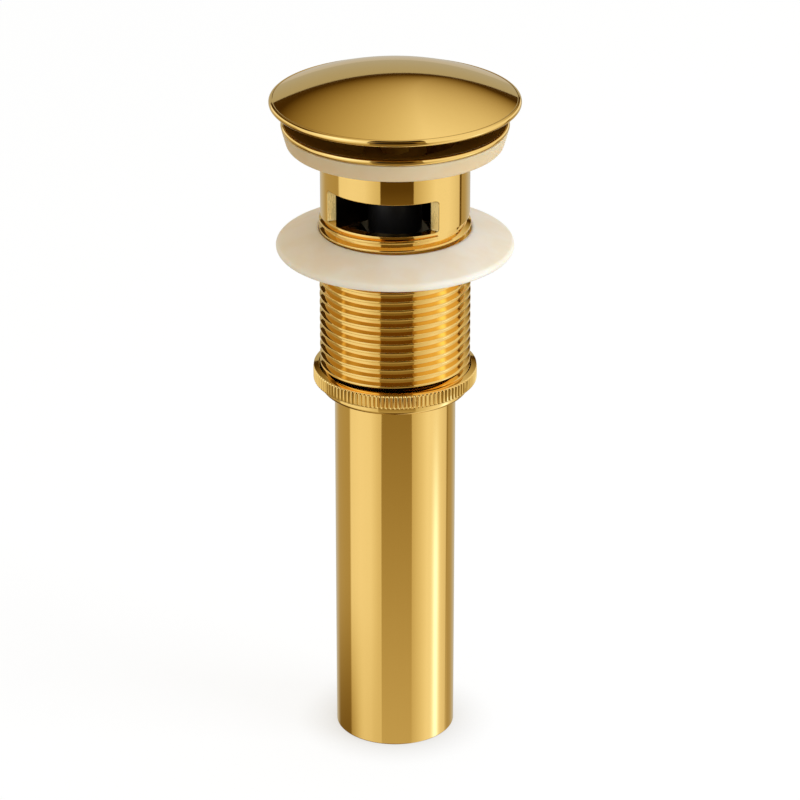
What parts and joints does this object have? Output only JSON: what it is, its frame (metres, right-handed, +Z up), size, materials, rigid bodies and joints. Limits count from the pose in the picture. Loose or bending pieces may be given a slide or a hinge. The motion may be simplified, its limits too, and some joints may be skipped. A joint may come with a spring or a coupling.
{
  "type": "pop up basin waste",
  "caption": "Push-to-open basin waste: domed cap on a click cartridge, dished flange with overflow windows, seals, threaded shank with knurled lock nut, straight tail tube.",
  "frame": {"origin": "centre of the tail tube's lower end, on the surface that the part stands on", "axes": "+Z up the axis from the tail tube to the cap; the overflow windows face -Y and +Y"},
  "size_m": [0.065, 0.065, 0.1876],
  "materials": {
    "gold_plate": "polished gold plate on brass",
    "raw_brass": "turned, not plated",
    "cream_rubber": "smooth translucent rubber",
    "black_rubber": "matte",
    "black_plastic": "moulded",
    "white_plastic": "moulded",
    "steel": "bright"
  },
  "bodies": {
    "waste": {"waste_body": "gold_plate", "bridge": "raw_brass", "barrel": "black_plastic", "gland": "raw_brass", "gland_seal": "black_rubber", "barrel_gasket": "black_rubber", "barrel_nut": "raw_brass", "spring": "steel", "spring_plug": "black_plastic", "upper_seal": "cream_rubber", "tail_tube": "gold_plate", "tail_gasket": "black_rubber"},
    "plug": {"cap_dome": "gold_plate", "cap_seal": "black_rubber", "cap_stud": "steel", "stud_nut": "steel", "plunger": "raw_brass", "thrust_washer": "steel"},
    "rotor": {"ratchet_rotor": "white_plastic"},
    "washer": {"tapered_washer": "cream_rubber"},
    "nut_slip": {"slip_ring": "gold_plate"},
    "nut": {"lock_nut": "gold_plate"}
  },
  "joints": [
    {"name": "cap_press", "type": "slide", "parent": "waste", "child": "plug", "axis": [0, 0, 1], "range_m": [-0.0055, 0], "stiffness_N_per_m": 300, "springref_m": 0.015, "deforming": ["spring"]},
    {"name": "rotor_index", "type": "hinge", "parent": "plug", "child": "rotor", "pos_m": [0, 0, 0.153], "axis": [0, 0, 1], "range_deg": [0, 22.6]},
    {"name": "washer_slide", "type": "slide", "parent": "waste", "child": "washer", "axis": [0, 0, 1], "range_m": [0, 0.0223]},
    {"name": "nut_travel", "type": "slide", "parent": "waste", "child": "nut_slip", "axis": [0, 0, 1], "range_m": [-0.0023, 0.0317]},
    {"name": "nut_turn", "type": "hinge", "parent": "nut_slip", "child": "nut", "pos_m": [0, 0, 0.1045], "axis": [0, 0, 1], "range_deg": [-350, 4816]}
  ],
  "couplings": [
    {"joint": "rotor_index", "follows": "cap_press", "rad_per_m": -71.4},
    {"joint": "nut_turn", "follows": "nut_travel", "rad_per_m": 2651}
  ]
}
